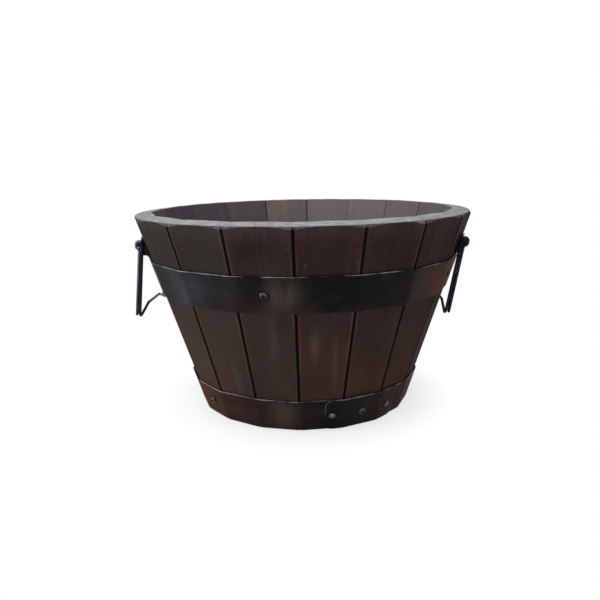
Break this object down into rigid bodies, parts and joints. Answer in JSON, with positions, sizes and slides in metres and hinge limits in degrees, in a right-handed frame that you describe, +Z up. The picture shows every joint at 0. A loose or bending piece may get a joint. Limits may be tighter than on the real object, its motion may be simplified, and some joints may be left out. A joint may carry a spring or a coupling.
{
  "type": "wooden barrel planter",
  "caption": "Tapered tub of dark stained staves held by two black steel hoops, with a planked base let into a groove and a drop handle of bent wire on either side.",
  "frame": {"origin": "centre of the tub on the floor plane", "axes": "+Z up along the tub's axis, the two handles on the X axis, the pictured front facing -Y"},
  "size_m": [0.4276, 0.4316, 0.253],
  "materials": {
    "stave_wood": "matte",
    "base_wood": "matte",
    "hoop_steel": "satin",
    "screw_steel": "satin",
    "rivet_steel": "satin",
    "bracket_steel": "satin",
    "handle_wire": "satin"
  },
  "bodies": {
    "barrel": {"stave_01": "stave_wood", "stave_02": "stave_wood", "stave_03": "stave_wood", "stave_04": "stave_wood", "stave_05": "stave_wood", "stave_06": "stave_wood", "stave_07": "stave_wood", "stave_08": "stave_wood", "stave_09": "stave_wood", "stave_10": "stave_wood", "stave_11": "stave_wood", "stave_12": "stave_wood", "stave_13": "stave_wood", "stave_14": "stave_wood", "stave_15": "stave_wood", "stave_16": "stave_wood", "stave_17": "stave_wood", "stave_18": "stave_wood", "base_board_1": "base_wood", "base_board_2": "base_wood", "base_board_3": "base_wood", "base_board_4": "base_wood", "upper_hoop": "hoop_steel", "lower_hoop": "hoop_steel", "upper_hoop_screws": "screw_steel", "lower_hoop_screws": "screw_steel", "bracket_screws": "screw_steel", "upper_lap_rivets": "rivet_steel", "lower_lap_rivets": "rivet_steel", "left_front_bracket": "bracket_steel", "left_rear_bracket": "bracket_steel", "right_front_bracket": "bracket_steel", "right_rear_bracket": "bracket_steel", "left_pivot_pins": "bracket_steel", "right_pivot_pins": "bracket_steel"},
    "left_handle": {"left_handle": "handle_wire"},
    "right_handle": {"right_handle": "handle_wire"}
  },
  "joints": [
    {"name": "left_handle_swing", "type": "hinge", "parent": "barrel", "child": "left_handle", "pos_m": [-0.2003, 0, 0.215], "axis": [0, 1, 0], "range_deg": [-17, 154]},
    {"name": "right_handle_swing", "type": "hinge", "parent": "barrel", "child": "right_handle", "pos_m": [0.2003, 0, 0.215], "axis": [0, -1, 0], "range_deg": [-0.7, 170.5]}
  ]
}
